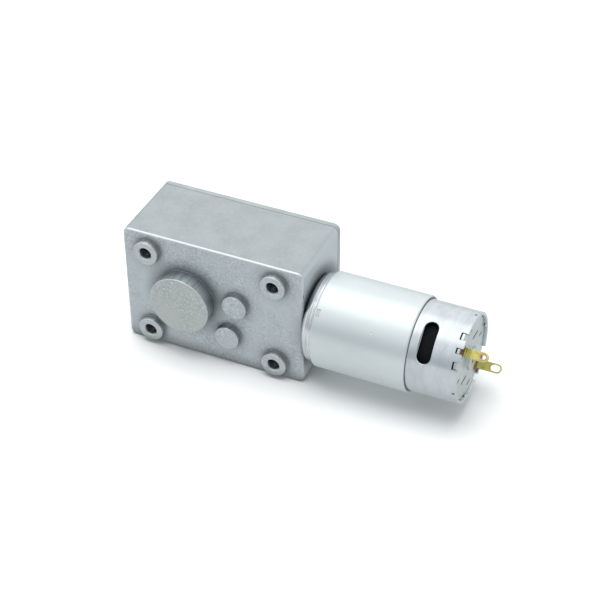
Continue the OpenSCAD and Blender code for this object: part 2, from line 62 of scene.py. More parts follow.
# A studio picture of a right-angle geared DC motor. Its outer pieces are modelled here around the
# frame, and the inner ones are the frame's own with finer materials. Lengths are in millimetres
# until a mesh is stored, when they become metres.
MM = 0.001
SHARP_ANGLE = math.radians(28)
scene = bpy.context.scene


# ---- places taken from the frame ----

def box(node):
    low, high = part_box(node)
    return low / MM, high / MM


def middle(node):
    low, high = box(node)
    return (low + high) / 2


# gearbox: how far the output bearing's boss stands out, the walls, the rounding of the corners
# outside and inside, and the columns that the cover's screws go into
SEAT_OUT = 4.65
WALL = 2.4
MOTOR_WALL = 3.2
CORNER_R = 2.0
ROOM_CORNER_R = 1.2
COLUMN_R = 3.8
SCREW_HEAD_R = 2.35
SCREW_R = 1.25
# motor: how far its two screws stand from its axis, and the bearing's nose on its front
MOTOR_SCREW_OUT = 8
NOSE_R = 3.2

case_low, case_high = box("gearbox_housing")
cover_low, cover_high = box("gearbox_cover")
front_y = case_low.y + SEAT_OUT
floor_y = front_y + WALL
rim_y = case_high.y
cover_in_y = box("cover_gasket")[1].y
case_x, case_z = (case_low.x, case_high.x), (case_low.z, case_high.z)
room_x = (case_low.x + WALL, case_high.x - MOTOR_WALL)
room_z = (case_low.z + WALL, case_high.z - WALL)

screws_low, screws_high = box("cover_screws")
posts = [(x, z) for x in (screws_low.x + SCREW_HEAD_R, screws_high.x - SCREW_HEAD_R)
         for z in (screws_low.z + SCREW_HEAD_R, screws_high.z - SCREW_HEAD_R)]
pins = {name: middle(name).xz for name in ("first_pin", "second_pin")}
motor_axis = middle("motor_shaft")
motor_x = case_high.x

# the motor is turned about its own axis, so that one terminal lies up and forwards from that axis
MOTOR_ROLL = math.radians(135)


def on_motor(along=0):
    """Frame with Z along the motor and Y to a terminal, that far behind the motor's front face."""
    at = Matrix.Translation((motor_x + along, motor_axis.y, motor_axis.z))
    return at @ Matrix.Rotation(MOTOR_ROLL, 4, "X") @ Matrix.Rotation(math.pi / 2, 4, "Y")


def motor_bolt(way):
    """Frame with Z along the upper or lower motor screw, its origin in the motor's front face."""
    at = Matrix.Translation((motor_x, motor_axis.y, motor_axis.z + way * MOTOR_SCREW_OUT))
    return at @ Matrix.Rotation(math.pi / 2, 4, "Y")


def out_of_front(x, z):
    """Frame with Z out of the gearbox's front face."""
    return Matrix.Translation((x, front_y, z)) @ Matrix.Rotation(math.pi / 2, 4, "X")


def along_y(x, z):
    """Frame with Z along the output shaft, its origin in the cover's outer face."""
    return Matrix.Translation((x, 0, z)) @ Matrix.Rotation(-math.pi / 2, 4, "X")


# ---- shapes ----

def rounded(corners, steps=6):
    """Outline through (x, y) or (x, y, radius) corners, with an arc at each that has a radius."""
    outline = []
    for i, corner in enumerate(corners):
        here = Vector(corner[:2])
        radius = corner[2] if len(corner) > 2 else 0
        if radius == 0:
            outline.append(here)
            continue
        back = (Vector(corners[i - 1][:2]) - here).normalized()
        on = (Vector(corners[(i + 1) % len(corners)][:2]) - here).normalized()
        half = math.acos(max(-1, min(1, back.dot(on)))) / 2
        centre = here + (back + on).normalized() * radius / math.sin(half)
        start = here + back * radius / math.tan(half) - centre
        end = here + on * radius / math.tan(half) - centre
        sweep = math.pi - 2 * half
        for k in range(steps + 1):
            t = k / steps
            spoke = start * math.sin((1 - t) * sweep) + end * math.sin(t * sweep)
            outline.append(centre + spoke / math.sin(sweep))
    return outline


def skin(rings, loop=False):
    """Closed solid through rings of as many points each. Its ends are capped, or joined."""
    n = len(rings[0])
    points = [p for ring in rings for p in ring]
    spans = len(rings) if loop else len(rings) - 1
    faces = []
    for k in range(spans):
        a, b = k * n, (k + 1) % len(rings) * n
        faces += [(a + i, a + (i + 1) % n, b + (i + 1) % n, b + i) for i in range(n)]
    if not loop:
        faces += [tuple(range(n)), tuple(range(len(points) - n, len(points)))]
    mesh = bpy.data.meshes.new("solid")
    mesh.from_pydata([Vector(p) * MM for p in points], [], faces)
    weld(mesh, 1e-7)
    thing = bpy.data.objects.new("solid", mesh)
    scene.collection.objects.link(thing)
    return thing


def weld(mesh, reach=5e-7):
    """Joins points that coincide and drops faces that have no area."""
    clean = bmesh.new()
    clean.from_mesh(mesh)
    bmesh.ops.remove_doubles(clean, verts=clean.verts, dist=reach)
    bmesh.ops.dissolve_degenerate(clean, edges=clean.edges, dist=reach)
    bmesh.ops.recalc_face_normals(clean, faces=clean.faces)
    clean.to_mesh(mesh)
    clean.free()


def turned(profile, place, steps=96, loop=False):
    """Solid turned round the place's Z from (radius, height) points. A loop makes a bored ring."""
    turns = [math.tau * k / steps for k in range(steps)]
    rings = [[place @ Vector((r * math.cos(a), r * math.sin(a), h)) for a in turns]
             for r, h in profile]
    return skin(rings, loop)


def rod(place, low, high, radius, steps=48):
    return turned([(radius, low), (radius, high)], place, steps)


def bead(radius, place):
    """Ball round the place's origin."""
    tight = radius - 0.01
    half = [(0, -radius), (radius, -radius, tight), (radius, radius, tight), (0, radius)]
    return turned(rounded(half, 6), place, 24)


def pill(half_w, low, high, radius, steps):
    """Outline of a rectangle whose corners have a radius, which may take up its whole ends."""
    return rounded([(-half_w, low, radius), (half_w, low, radius),
                    (half_w, high, radius), (-half_w, high, radius)], steps)


def prism(outline, place, low, high):
    """Outline in the place's X and Y, made thick from low to high along its Z."""
    return skin([[place @ Vector((x, y, h)) for x, y in outline] for h in (low, high)])


def brick(low, high, place=Matrix.Identity(4)):
    corners = [(low[0], low[1]), (high[0], low[1]), (high[0], high[1]), (low[0], high[1])]
    return prism(corners, place, low[2], high[2])


def threaded(place, low, high, inner, outer, pitch):
    """Rod with a helical V thread between the inner and outer radius."""
    steps, per_pitch = 36, 6
    count = math.ceil((high - low) / pitch * per_pitch)
    rings = []
    for k in range(count + 1):
        h = low + (high - low) * k / count
        ring = []
        for i in range(steps):
            turn = (h / pitch + i / steps) % 1
            r = inner + (outer - inner) * (1 - abs(2 * turn - 1))
            a = math.tau * i / steps
            ring.append(place @ Vector((r * math.cos(a), r * math.sin(a), h)))
        rings.append(ring)
    return skin(rings)


def slab(x, z, corner, stations):
    """Rounded block between two X and two Z values, through stations of (y, inset)."""
    least_r, steps = 0.25, 8
    rings = []
    for y, inset in stations:
        r = max(corner - inset, least_r)
        low_x, high_x, low_z, high_z = x[0] + inset, x[1] - inset, z[0] + inset, z[1] - inset
        outline = [(low_x, low_z, r), (high_x, low_z, r), (high_x, high_z, r), (low_x, high_z, r)]
        rings.append([(px, y, pz) for px, pz in rounded(outline, steps)])
    return skin(rings)


def edge(y, radius, way, steps=6):
    """Stations that round a slab's edge at y, going into the block in the direction way."""
    turns = [math.pi / 2 * k / steps for k in range(steps + 1)]
    return [(y + way * radius * (1 - math.cos(a)), radius * (1 - math.sin(a))) for a in turns]


def evaluated(thing):
    """New mesh of a thing as its modifiers leave it, or of a curve as its settings do."""
    bpy.context.view_layer.update()
    depsgraph = bpy.context.evaluated_depsgraph_get()
    return bpy.data.meshes.new_from_object(thing.evaluated_get(depsgraph))


def cut_or_join(thing, add=(), cut=()):
    """Joins solids to a thing, then cuts others from it. The solids are used up."""
    for tools, way in ((add, "UNION"), (cut, "DIFFERENCE")):
        for tool in tools:
            step = thing.modifiers.new("step", "BOOLEAN")
            step.operation = way
            step.solver = "MANIFOLD"
            step.object = tool
    mesh = evaluated(thing)
    thing.modifiers.clear()
    thing.data = mesh
    for tool in (*add, *cut):
        bpy.data.objects.remove(tool)
    return thing


def gather(things):
    """One object from several separate ones."""
    whole = bmesh.new()
    for thing in things:
        whole.from_mesh(thing.data)
    mesh = bpy.data.meshes.new("solid")
    whole.to_mesh(mesh)
    whole.free()
    for thing in things[1:]:
        bpy.data.objects.remove(thing)
    things[0].data = mesh
    return things[0]


def piece(thing, name, body, node, finish):
    """Names a finished solid, shades it, gives it its material and lets it stand for a CAD node."""
    thing.name = name
    thing.data.name = name
    weld(thing.data)
    thing.data.polygons.foreach_set("use_smooth", [True] * len(thing.data.polygons))
    thing.data.set_sharp_from_angle(angle=SHARP_ANGLE)
    normals = thing.modifiers.new("normals", "WEIGHTED_NORMAL")
    normals.keep_sharp = True
    thing.data.materials.clear()
    thing.data.materials.append(finish)
    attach(thing, body)
    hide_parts(node)
    return thing


# ---- materials ----

# ways that a surface can face: out of the gearbox's front, and towards either end of the object
FRONT, MOTOR_END, GEARBOX_END = (0, -1, 0), (1, 0, 0), (-1, 0, 0)


class Finish:
    """One node material. Its pattern is fixed to the piece, in millimetres."""

    def __init__(self, name, metallic=1.0, **sockets):
        self.material = bpy.data.materials.new(name)
        self.material.use_nodes = True
        self.tree = self.material.node_tree
        self.shader = self.tree.nodes["Principled BSDF"]
        self.shader.inputs["Metallic"].default_value = metallic
        for socket, value in sockets.items():
            self.shader.inputs[socket.replace("_", " ")].default_value = value
        self.coords = self.add("ShaderNodeTexCoord")
        self.at = self.vector("MULTIPLY", self.coords.outputs["Object"], (1 / MM,) * 3)
        self.normal = None

    def add(self, kind, **settings):
        node = self.tree.nodes.new(kind)
        for key, value in settings.items():
            setattr(node, key, value)
        return node

    def feed(self, socket, value):
        if isinstance(value, bpy.types.NodeSocket):
            self.tree.links.new(value, socket)
        else:
            socket.default_value = value

    def vector(self, operation, a, b):
        node = self.add("ShaderNodeVectorMath", operation=operation)
        self.feed(node.inputs[0], a)
        self.feed(node.inputs[1], b)
        return node.outputs["Vector"]

    def math(self, operation, a, b):
        node = self.add("ShaderNodeMath", operation=operation)
        self.feed(node.inputs[0], a)
        self.feed(node.inputs[1], b)
        return node.outputs["Value"]

    def noise(self, scale, stretch=(1, 1, 1), detail=4.0, rough=0.55, shift=0.0):
        """Noise with about that many features a millimetre, stretched by one factor an axis."""
        node = self.add("ShaderNodeTexNoise")
        at = self.vector("MULTIPLY", self.at, tuple(scale * s for s in stretch))
        self.feed(node.inputs["Vector"], self.vector("ADD", at, (shift,) * 3))
        node.inputs["Scale"].default_value = 1.0
        node.inputs["Detail"].default_value = detail
        node.inputs["Roughness"].default_value = rough
        return node.outputs["Fac"]

    def span(self, value, low, high, to_low, to_high):
        """The value stretched from one range to another, and held at its ends."""
        node = self.add("ShaderNodeMapRange")
        self.feed(node.inputs["Value"], value)
        ranges = zip(("From Min", "From Max", "To Min", "To Max"), (low, high, to_low, to_high))
        for socket, number in ranges:
            node.inputs[socket].default_value = number
        return node.outputs["Result"]

    def blend(self, share, a, b):
        """Colour a where the share is 0 and colour b where it is 1."""
        node = self.add("ShaderNodeMix", data_type="RGBA")
        self.feed(node.inputs["Factor"], share)
        for socket, colour in ((node.inputs["A"], a), (node.inputs["B"], b)):
            self.feed(socket, colour)
        return node.outputs["Result"]

    def along(self, axis, low, high):
        """0 to 1 as the place on an axis goes from low to high."""
        node = self.add("ShaderNodeSeparateXYZ")
        self.feed(node.inputs[0], self.at)
        return self.span(node.outputs[axis], low, high, 0.0, 1.0)

    def facing(self, direction, low, high):
        """0 to 1 as the surface turns towards a direction."""
        node = self.add("ShaderNodeVectorMath", operation="DOT_PRODUCT")
        self.feed(node.inputs[0], self.coords.outputs["Normal"])
        self.feed(node.inputs[1], direction)
        return self.span(node.outputs["Value"], low, high, 0.0, 1.0)

    def near_posts(self, radius):
        """1 within a radius of the axes of the four tapped bosses."""
        low, high = (Vector((posts[k][0], 0, posts[k][1])) for k in (0, -1))
        away = self.vector("SUBTRACT", self.at, tuple((low + high) / 2))
        folded = self.vector("ABSOLUTE", away, (0, 0, 0))
        folded = self.vector("SUBTRACT", folded, tuple((high - low) / 2))
        flat = self.add("ShaderNodeVectorMath", operation="LENGTH")
        self.feed(flat.inputs[0], self.vector("MULTIPLY", folded, (1, 0, 1)))
        return self.span(flat.outputs["Value"], radius, radius - 0.05, 0.0, 1.0)

    def corners(self, reach):
        """1 in the open and lower in a corner, within that many millimetres."""
        node = self.add("ShaderNodeAmbientOcclusion", samples=4)
        node.inputs["Distance"].default_value = reach * MM
        return node.outputs["AO"]

    def bump(self, height, depth, strength):
        """Relief of that many millimetres, on top of any before it."""
        node = self.add("ShaderNodeBump")
        node.inputs["Strength"].default_value = strength
        node.inputs["Distance"].default_value = depth * MM
        self.feed(node.inputs["Height"], height)
        if self.normal:
            self.feed(node.inputs["Normal"], self.normal)
        self.normal = node.outputs["Normal"]

    def done(self, colour, roughness):
        """The material, with its last colour, roughness and relief."""
        self.feed(self.shader.inputs["Base Color"], colour)
        self.feed(self.shader.inputs["Roughness"], roughness)
        if self.normal:
            self.feed(self.shader.inputs["Normal"], self.normal)
        return self.material


def shade(colour, factor):
    """Opaque colour that is brighter or darker by a factor."""
    return tuple(min(1, c * factor) for c in colour) + (1,)


def cast_zinc():
    """Die-cast zinc: grained and stained, with a speckled front painted lighter, painted highlights
    on its rubbed edges and painted shade in its corners and tapped holes.
    """
    f = Finish("cast_zinc", metallic=0.9)
    tone = (0.46, 0.50, 0.52)
    clouds = f.noise(0.16, detail=3)
    mottle = f.noise(0.9, detail=5, rough=0.6, shift=7)
    grains = f.noise(5.0, detail=3, rough=0.7, shift=3)
    front = f.facing(FRONT, 0.3, 0.9)
    colour = f.blend(f.span(clouds, 0.35, 0.65, 0, 1), shade(tone, 0.94), shade(tone, 1.05))
    colour = f.blend(f.span(mottle, 0.45, 0.75, 0, 0.45), colour, shade(tone, 1.28))
    colour = f.blend(f.span(grains, 0.5, 0.75, 0, 0.6), colour, shade(tone, 0.6))
    stains = f.noise(0.35, detail=5, rough=0.65, shift=13)
    stains = f.math("MULTIPLY", f.span(stains, 0.4, 0.7, 0, 0.55), front)
    colour = f.blend(stains, colour, shade(tone, 0.6))
    # the front and the motor's end are painted lighter, painted light for how they catch the light,
    # and the sides of the bosses have draw marks
    colour = f.blend(f.math("MULTIPLY", front, 0.55), colour, shade(tone, 1.66))
    draws = f.noise(2.4, (1, 0.05, 1), detail=2, shift=31)
    draws = f.math("MULTIPLY", draws, f.along("Y", front_y, front_y - 0.3))
    draws = f.math("MULTIPLY", draws, f.facing(FRONT, 0.5, 0.2))
    colour = f.blend(f.span(draws, 0.42, 0.62, 0, 0.6), colour, shade(tone, 1.7))
    # painted light: the face towards the motor's end is painted lighter
    colour = f.blend(f.facing(MOTOR_END, 0.5, 0.95), colour, shade(tone, 1.4))
    # the face of the large boss is turned, and a little warmer
    faced = f.along("Y", front_y - SEAT_OUT + 0.15, front_y - SEAT_OUT + 0.02)
    colour = f.blend(f.math("MULTIPLY", faced, 0.7), colour, (0.57, 0.59, 0.565, 1))
    # the front is speckled, more in some places than in others
    dots = f.noise(1.5, detail=3, rough=0.75, shift=17)
    patches = f.span(f.noise(0.13, detail=2, shift=27), 0.42, 0.62, 0.3, 1)
    patches = f.math("MULTIPLY", patches, front)
    pits = f.math("MULTIPLY", f.span(dots, 0.51, 0.42, 0, 0.4), patches)
    colour = f.blend(pits, colour, shade(tone, 0.7))
    sparks = f.math("MULTIPLY", f.span(dots, 0.55, 0.70, 0, 0.6), patches)
    colour = f.blend(sparks, colour, shade(tone, 1.9))
    # edges are rubbed smoother and carry a painted highlight, except at the bosses' roots
    edge_wear_and_highlight = f.math("MULTIPLY", f.facing(FRONT, 0.15, 0.35), f.facing(FRONT, 0.9, 0.7))
    root = f.math("MULTIPLY", f.along("Y", front_y - 1.1, front_y - 1.0),
                  f.along("Y", front_y + 0.02, front_y - 0.02))
    edge_wear_and_highlight = f.math("MULTIPLY", edge_wear_and_highlight, f.span(root, 0, 1, 0.85, 0))
    colour = f.blend(edge_wear_and_highlight, colour, (0.78, 0.81, 0.82, 1))
    # painted shade darkens the corners, and the tapped holes are painted dark as painted shade
    corner_shade = f.span(f.corners(5), 0.97, 0.45, 0, 1)
    colour = f.blend(f.math("MULTIPLY", corner_shade, 0.82), colour, shade(tone, 0.16))
    tapped = f.math("MULTIPLY", f.near_posts(2.15), f.along("Y", front_y - 1.75, front_y - 1.3))
    colour = f.blend(f.math("MULTIPLY", tapped, 0.87), colour, (0.03, 0.035, 0.035, 1))
    roughness = f.math("MULTIPLY", f.span(mottle, 0.3, 0.7, 0.42, 0.54),
                       f.span(edge_wear_and_highlight, 0, 0.85, 1, 0.45))
    f.bump(grains, 0.03, 0.5)
    f.bump(mottle, 0.11, 0.35)
    f.bump(dots, 0.04, 0.3)
    return f.done(colour, roughness)


def can_steel():
    """Nickel-plated drawn steel with faint marks round it, a turned band in front painted brighter
    as painted light, and painted shade in tight corners.
    """
    f = Finish("can_steel")
    tone = (0.70, 0.745, 0.78)
    bright = (0.86, 0.90, 0.91)
    marks = f.noise(3.0, (1, 0.08, 0.08), detail=3, rough=0.65)
    smears = f.noise(0.35, (1, 0.35, 0.35), detail=3, shift=2)
    specks = f.noise(2.2, detail=4, rough=0.7, shift=11)
    colour = f.blend(f.span(smears, 0.35, 0.65, 0, 1), shade(tone, 0.94), shade(tone, 1.07))
    # painted light: the band in front is painted brighter than the rest of the can, and has dark
    # turning rings
    band = f.along("X", motor_x + 6.8, motor_x + 6.3)
    colour = f.blend(band, colour, bright + (1,))
    rings = f.noise(3.2, (1, 0.04, 0.04), detail=2, shift=23)
    rings = f.math("MULTIPLY", f.span(rings, 0.46, 0.58, 0, 0.55), band)
    colour = f.blend(rings, colour, shade(tone, 0.55))
    colour = f.blend(f.span(marks, 0.5, 0.85, 0, 0.3), colour, shade(tone, 0.8))
    colour = f.blend(f.span(specks, 0.66, 0.76, 0, 0.3), colour, shade(tone, 0.5))
    # painted shade: darker in the dents, round the slots and in other tight corners
    colour = f.blend(f.span(f.corners(0.5), 0.7, 0.25, 0, 0.85), colour, shade(tone, 0.2))
    return f.done(colour, f.span(marks, 0.3, 0.7, 0.18, 0.27))


def ring_steel():
    """Bright plated strip. Its end faces are painted dark as painted shade at its step onto the
    can.
    """
    f = Finish("ring_steel")
    tone = (0.80, 0.86, 0.875)
    clouds = f.noise(0.09, detail=2, shift=5)
    smears = f.noise(0.5, (0.3, 1, 1), detail=3, shift=2)
    specks = f.noise(1.6, detail=4, rough=0.7, shift=9)
    colour = f.blend(f.span(clouds, 0.35, 0.65, 0, 1), shade(tone, 0.97), shade(tone, 1.02))
    colour = f.blend(f.span(specks, 0.68, 0.76, 0, 0.35), colour, shade(tone, 0.6))
    # painted shade: the ring's end faces are darkened at the step onto the can
    for way in (MOTOR_END, GEARBOX_END):
        colour = f.blend(f.facing(way, 0.8, 0.95), colour, shade(tone, 0.22))
    f.bump(smears, 0.01, 0.3)
    return f.done(colour, f.span(smears, 0.3, 0.7, 0.33, 0.40))


def plated(name, tone, rough, across, fine=7.0, spots=0.25):
    """Plated sheet or bar with fine marks. across is the axis that the marks cross."""
    f = Finish(name)
    stretch = [0.06, 0.06, 0.06]
    stretch[across] = 1
    marks = f.noise(fine, tuple(stretch), detail=3, rough=0.7)
    clouds = f.noise(0.12, detail=2, shift=5)
    specks = f.noise(2.2, detail=4, rough=0.7, shift=11)
    colour = f.blend(f.span(clouds, 0.35, 0.65, 0, 1), shade(tone, 0.93), shade(tone, 1.06))
    colour = f.blend(f.span(marks, 0.5, 0.8, 0, 0.35), colour, shade(tone, 0.75))
    colour = f.blend(f.span(specks, 0.62, 0.75, 0, spots), colour, shade(tone, 0.55))
    # painted shade: darker in corners and hollows
    colour = f.blend(f.span(f.corners(1.5), 0.6, 0.2, 0, 0.7), colour, shade(tone, 0.3))
    roughness = f.span(marks, 0.3, 0.7, rough * 0.85, rough * 1.2)
    f.bump(marks, 0.006, 0.6)
    return f.done(colour, roughness)


def terminal_brass(name, stain_at=None):
    """Yellow brass with dark olive painted shade in its hollows, and with a pink stain round one
    point if it's given.
    """
    f = Finish(name)
    tone = (0.70, 0.63, 0.21)
    marks = f.noise(5.0, (1, 0.1, 0.1), detail=3, rough=0.7)
    clouds = f.noise(0.9, detail=4, rough=0.6, shift=5)
    colour = f.blend(f.span(clouds, 0.35, 0.65, 0, 1), shade(tone, 0.85), shade(tone, 1.15))
    colour = f.blend(f.span(marks, 0.5, 0.8, 0, 0.35), colour, shade(tone, 0.7))
    # painted shade: dark olive in the hollows and creases
    colour = f.blend(f.span(f.corners(0.6), 0.85, 0.4, 0, 0.8), colour, (0.16, 0.15, 0.05, 1))
    if stain_at:
        away = f.add("ShaderNodeVectorMath", operation="DISTANCE")
        f.feed(away.inputs[0], f.at)
        f.feed(away.inputs[1], stain_at)
        stain = f.span(away.outputs["Value"], 1.3, 1.1, 0, 0.8)
        colour = f.blend(stain, colour, (0.66, 0.36, 0.27, 1))
    f.bump(marks, 0.006, 0.6)
    return f.done(colour, f.span(clouds, 0.3, 0.7, 0.25, 0.36))


def dull(name, tone, rough, grain=3.0, depth=0.03, metallic=0.0, **sockets):
    """Moulded, pressed or sintered material with a fine even grain."""
    f = Finish(name, metallic=metallic, **sockets)
    grains = f.noise(grain, detail=4, rough=0.65)
    clouds = f.noise(0.3, detail=3, shift=4)
    colour = f.blend(f.span(clouds, 0.3, 0.7, 0, 1), shade(tone, 0.82), shade(tone, 1.15))
    colour = f.blend(f.span(grains, 0.5, 0.8, 0, 0.5), colour, shade(tone, 0.65))
    f.bump(grains, depth, 0.6)
    return f.done(colour, f.span(grains, 0.3, 0.7, rough * 0.85, min(1, rough * 1.15)))


def layered(name, tone, pitch, rough, metallic):
    """Stack of thin sheets, or turns of wire, along the motor."""
    f = Finish(name, metallic=metallic)
    wave = f.add("ShaderNodeTexWave", wave_type="BANDS", bands_direction="X")
    f.feed(wave.inputs["Vector"], f.at)
    wave.inputs["Scale"].default_value = math.tau / 20 / pitch
    wave.inputs["Distortion"].default_value = 0.4
    lines = wave.outputs["Fac"]
    grains = f.noise(2.5, detail=3)
    colour = f.blend(lines, shade(tone, 0.45), shade(tone, 1.1))
    colour = f.blend(f.span(grains, 0.5, 0.75, 0, 0.4), colour, shade(tone, 0.7))
    f.bump(lines, pitch * 0.3, 0.7)
    return f.done(colour, f.span(grains, 0.3, 0.7, rough * 0.8, rough * 1.2))


X, Y, Z = range(3)
# the finish of each material slot
finishes = {
    "zinc_casting": cast_zinc(),
    "cover_plate": plated("cover_plate", (0.52, 0.56, 0.58), 0.36, Z, fine=3.0, spots=0.35),
    "gasket": dull("gasket", (0.24, 0.25, 0.26), 0.9),
    "screw_steel": plated("screw_steel", (0.60, 0.61, 0.63), 0.28, Y),
    "shaft_steel": plated("shaft_steel", (0.66, 0.67, 0.68), 0.2, Y, fine=9.0),
    "gear_steel": plated("gear_steel", (0.46, 0.47, 0.49), 0.3, Y, fine=5.0),
    "bronze": dull("bronze", (0.52, 0.36, 0.18), 0.42, grain=6.0, metallic=1.0),
    "wheel_brass": plated("wheel_brass", (0.76, 0.56, 0.24), 0.28, Y),
    "can_steel": can_steel(),
    "ring_steel": ring_steel(),
    "ferrite": dull("ferrite", (0.05, 0.05, 0.055), 0.7, grain=4.0),
    "lamination": layered("lamination", (0.30, 0.31, 0.33), 0.5, 0.4, 1.0),
    "winding": layered("winding", (0.42, 0.15, 0.06), 0.35, 0.3, 0.6),
    "fibre": dull("fibre", (0.29, 0.14, 0.115), 0.75, grain=5.0),
    "copper": plated("copper", (0.80, 0.42, 0.24), 0.25, X, fine=9.0),
    "phenolic": dull("phenolic", (0.16, 0.08, 0.045), 0.5),
    "ceramic": dull("ceramic", (0.10, 0.12, 0.15), 0.6),
    "nylon": dull("nylon", (0.78, 0.75, 0.66), 0.45, depth=0.01),
    "holder_plastic": dull("holder_plastic", (0.006, 0.007, 0.008), 0.7, depth=0.01,
                           Specular_IOR_Level=0.12),
    "carbon": dull("carbon", (0.03, 0.03, 0.03), 0.55),
    "end_steel": plated("end_steel", (0.68, 0.725, 0.735), 0.34, Y, fine=1.5, spots=0.4),
    "terminal_brass": terminal_brass("terminal_brass"),
}

slot_of = {part["node"]: part["material_slot"] for part in frame["record"]["subparts"]}
for node, slot in slot_of.items():
    mesh = frame["nodes"][node].data
    for k in range(len(mesh.materials)):
        mesh.materials[k] = finishes[slot]
    if not mesh.materials:
        mesh.materials.append(finishes[slot])


# ---- gearbox ----

def boss(at, radius, out, flare, round_over=0.3, rings=()):
    """Cast boss at (x, z) on the front, with a soft root, a rounded edge and perhaps fine rings."""
    root, groove, narrow = 0.01, 0.035, 0.06
    foot = radius + flare + 0.02
    profile = [(0, -1), (foot, -1), (foot, root), (radius, root, flare)]
    for share in rings:
        h = out * share
        profile += [(radius, h - narrow), (radius - groove, h), (radius, h + narrow)]
    profile += [(radius, out, round_over), (0, out)]
    return turned(rounded(profile), out_of_front(*at))


def gearbox_housing():
    edge_r, rim_r, room_edge_r = 0.9, 0.12, 0.5
    shell = slab(case_x, case_z, CORNER_R,
                 edge(front_y, edge_r, 1) + edge(rim_y, rim_r, -1, 2)[::-1])
    room = slab(room_x, room_z, ROOM_CORNER_R, edge(floor_y, room_edge_r, 1, 3) + [(rim_y + 1, 0)])
    cut_or_join(shell, cut=[room])

    sleeve_r, sleeve_l, screw_hole_l = 3.0, 3.6, 9
    boss_r, boss_out, tap_depth = 3.93, 1.9, 9.0
    core_r, major_r, mouth_r, pitch = 1.65, 2.0, 2.2, 0.7
    pin_boss_r, pin_boss_out, seat_r = 3.925, 1.85, 9.53
    add, cut = [], []
    for px, pz in posts:
        place = along_y(px, pz)
        add.append(rod(place, floor_y - 1, rim_y, COLUMN_R, 64))
        # a web joins the column to the end wall
        wall_x = case_x[0] + 1 if px < 0 else case_x[1] - 1
        low_x, high_x = sorted((wall_x, px))
        add.append(brick((low_x, floor_y - 0.5, pz - 1), (high_x, rim_y - 0.5, pz + 1)))
        add.append(boss((px, pz), boss_r, boss_out, 0.15, 0.35, (0.4, 0.58, 0.74)))
        out = out_of_front(px, pz)
        cut.append(threaded(out, boss_out - tap_depth, boss_out + 0.5, core_r, major_r, pitch))
        mouth = [(0, boss_out - 0.5), (core_r, boss_out - 0.5), (mouth_r, boss_out + 0.05),
                 (mouth_r, boss_out + 1), (0, boss_out + 1)]
        cut.append(turned(mouth, out, 36))
        cut.append(rod(place, rim_y - screw_hole_l, rim_y + 1, SCREW_R))
    for at in pins.values():
        add.append(boss(at, pin_boss_r, pin_boss_out, 0.15))
    add.append(boss((0, 0), seat_r, SEAT_OUT, 0.12))
    add.append(rod(along_y(*pins["first_pin"]), floor_y - 1, floor_y + sleeve_l, sleeve_r))
    # a rib holds the bush at the worm's far end
    rib_low, rib_high = box("worm_bush")
    rib_half, rib_over = 3.4, 2.85
    add.append(brick((rib_low.x, floor_y - 0.5, motor_axis.z - rib_half),
                     (rib_high.x, motor_axis.y + rib_over, motor_axis.z + rib_half)))
    cut_or_join(shell, add=add)

    bush_low, bush_high = box("inner_bush")
    cut.append(rod(along_y(0, 0), bush_low.y, floor_y + 1, (bush_high.x - bush_low.x) / 2, 96))
    for name, at in pins.items():
        pin_low, pin_high = box(name)
        cut.append(rod(along_y(*at), pin_low.y, floor_y + 5, (pin_high.x - pin_low.x) / 2))
    rib_bore_l, nose_gap, bolt_r = 3.2, 0.04, 1.35
    rib_bore_r = (rib_high.z - rib_low.z) / 2
    cut.append(rod(on_motor(rib_low.x - motor_x), -1, rib_bore_l, rib_bore_r))
    cut.append(rod(on_motor(-MOTOR_WALL), -1, MOTOR_WALL + 1, NOSE_R + nose_gap, 64))
    cut += [rod(motor_bolt(way), -MOTOR_WALL - 1, 1, bolt_r) for way in (-1, 1)]
    cut_or_join(shell, cut=cut)
    return piece(shell, "housing", "case", "gearbox_housing", finishes["zinc_casting"])


def gearbox_cover():
    inner_edge_r, outer_edge_r = 0.1, 0.35
    plate = slab(case_x, case_z, CORNER_R,
                 edge(cover_in_y, inner_edge_r, 1, 2) + edge(cover_high.y, outer_edge_r, -1)[::-1])
    bush_low, bush_high = box("output_bush")
    bush_r = (bush_high.x - bush_low.x) / 2
    collar_r, pin_pad_r = bush_r + 0.8, 2.3
    middle_y = (cover_in_y + cover_high.y) / 2
    collar = [(0, bush_low.y), (collar_r, bush_low.y, 0.2), (collar_r, middle_y), (0, middle_y)]
    add = [turned(rounded(collar), along_y(0, 0))]
    cut = [rod(along_y(0, 0), bush_low.y - 1, cover_high.y + 1, bush_r, 96)]
    for name, at in pins.items():
        pin_low, pin_high = box(name)
        add.append(rod(along_y(*at), cover_low.y + 0.3, middle_y, pin_pad_r))
        cut.append(rod(along_y(*at), cover_low.y - 1, pin_high.y, (pin_high.x - pin_low.x) / 2))
    sink_r = SCREW_HEAD_R + 0.05
    sink = [(0, -3), (SCREW_R, -3), (SCREW_R, -1.15), (sink_r, 0.05), (sink_r, 1), (0, 1)]
    for at in posts:
        cut.append(turned(sink, along_y(*at), 64))
    cut_or_join(plate, add=add, cut=cut)
    return piece(plate, "cover", "case", "gearbox_cover", finishes["cover_plate"])


def cover_gasket():
    inset = 0.08
    sheet = slab(case_x, case_z, CORNER_R, [(rim_y, inset), (cover_in_y, inset)])
    hole_x = (case_low.x + WALL, case_high.x - WALL)
    hole = slab(hole_x, room_z, ROOM_CORNER_R, [(rim_y - 1, 0), (cover_in_y + 1, 0)])
    cut_or_join(sheet, cut=[hole])
    cut_or_join(sheet, add=[rod(along_y(*at), rim_y, cover_in_y, COLUMN_R) for at in posts],
                cut=[rod(along_y(*at), rim_y - 1, cover_in_y + 1, SCREW_R) for at in posts])
    return piece(sheet, "gasket", "case", "cover_gasket", finishes["gasket"])


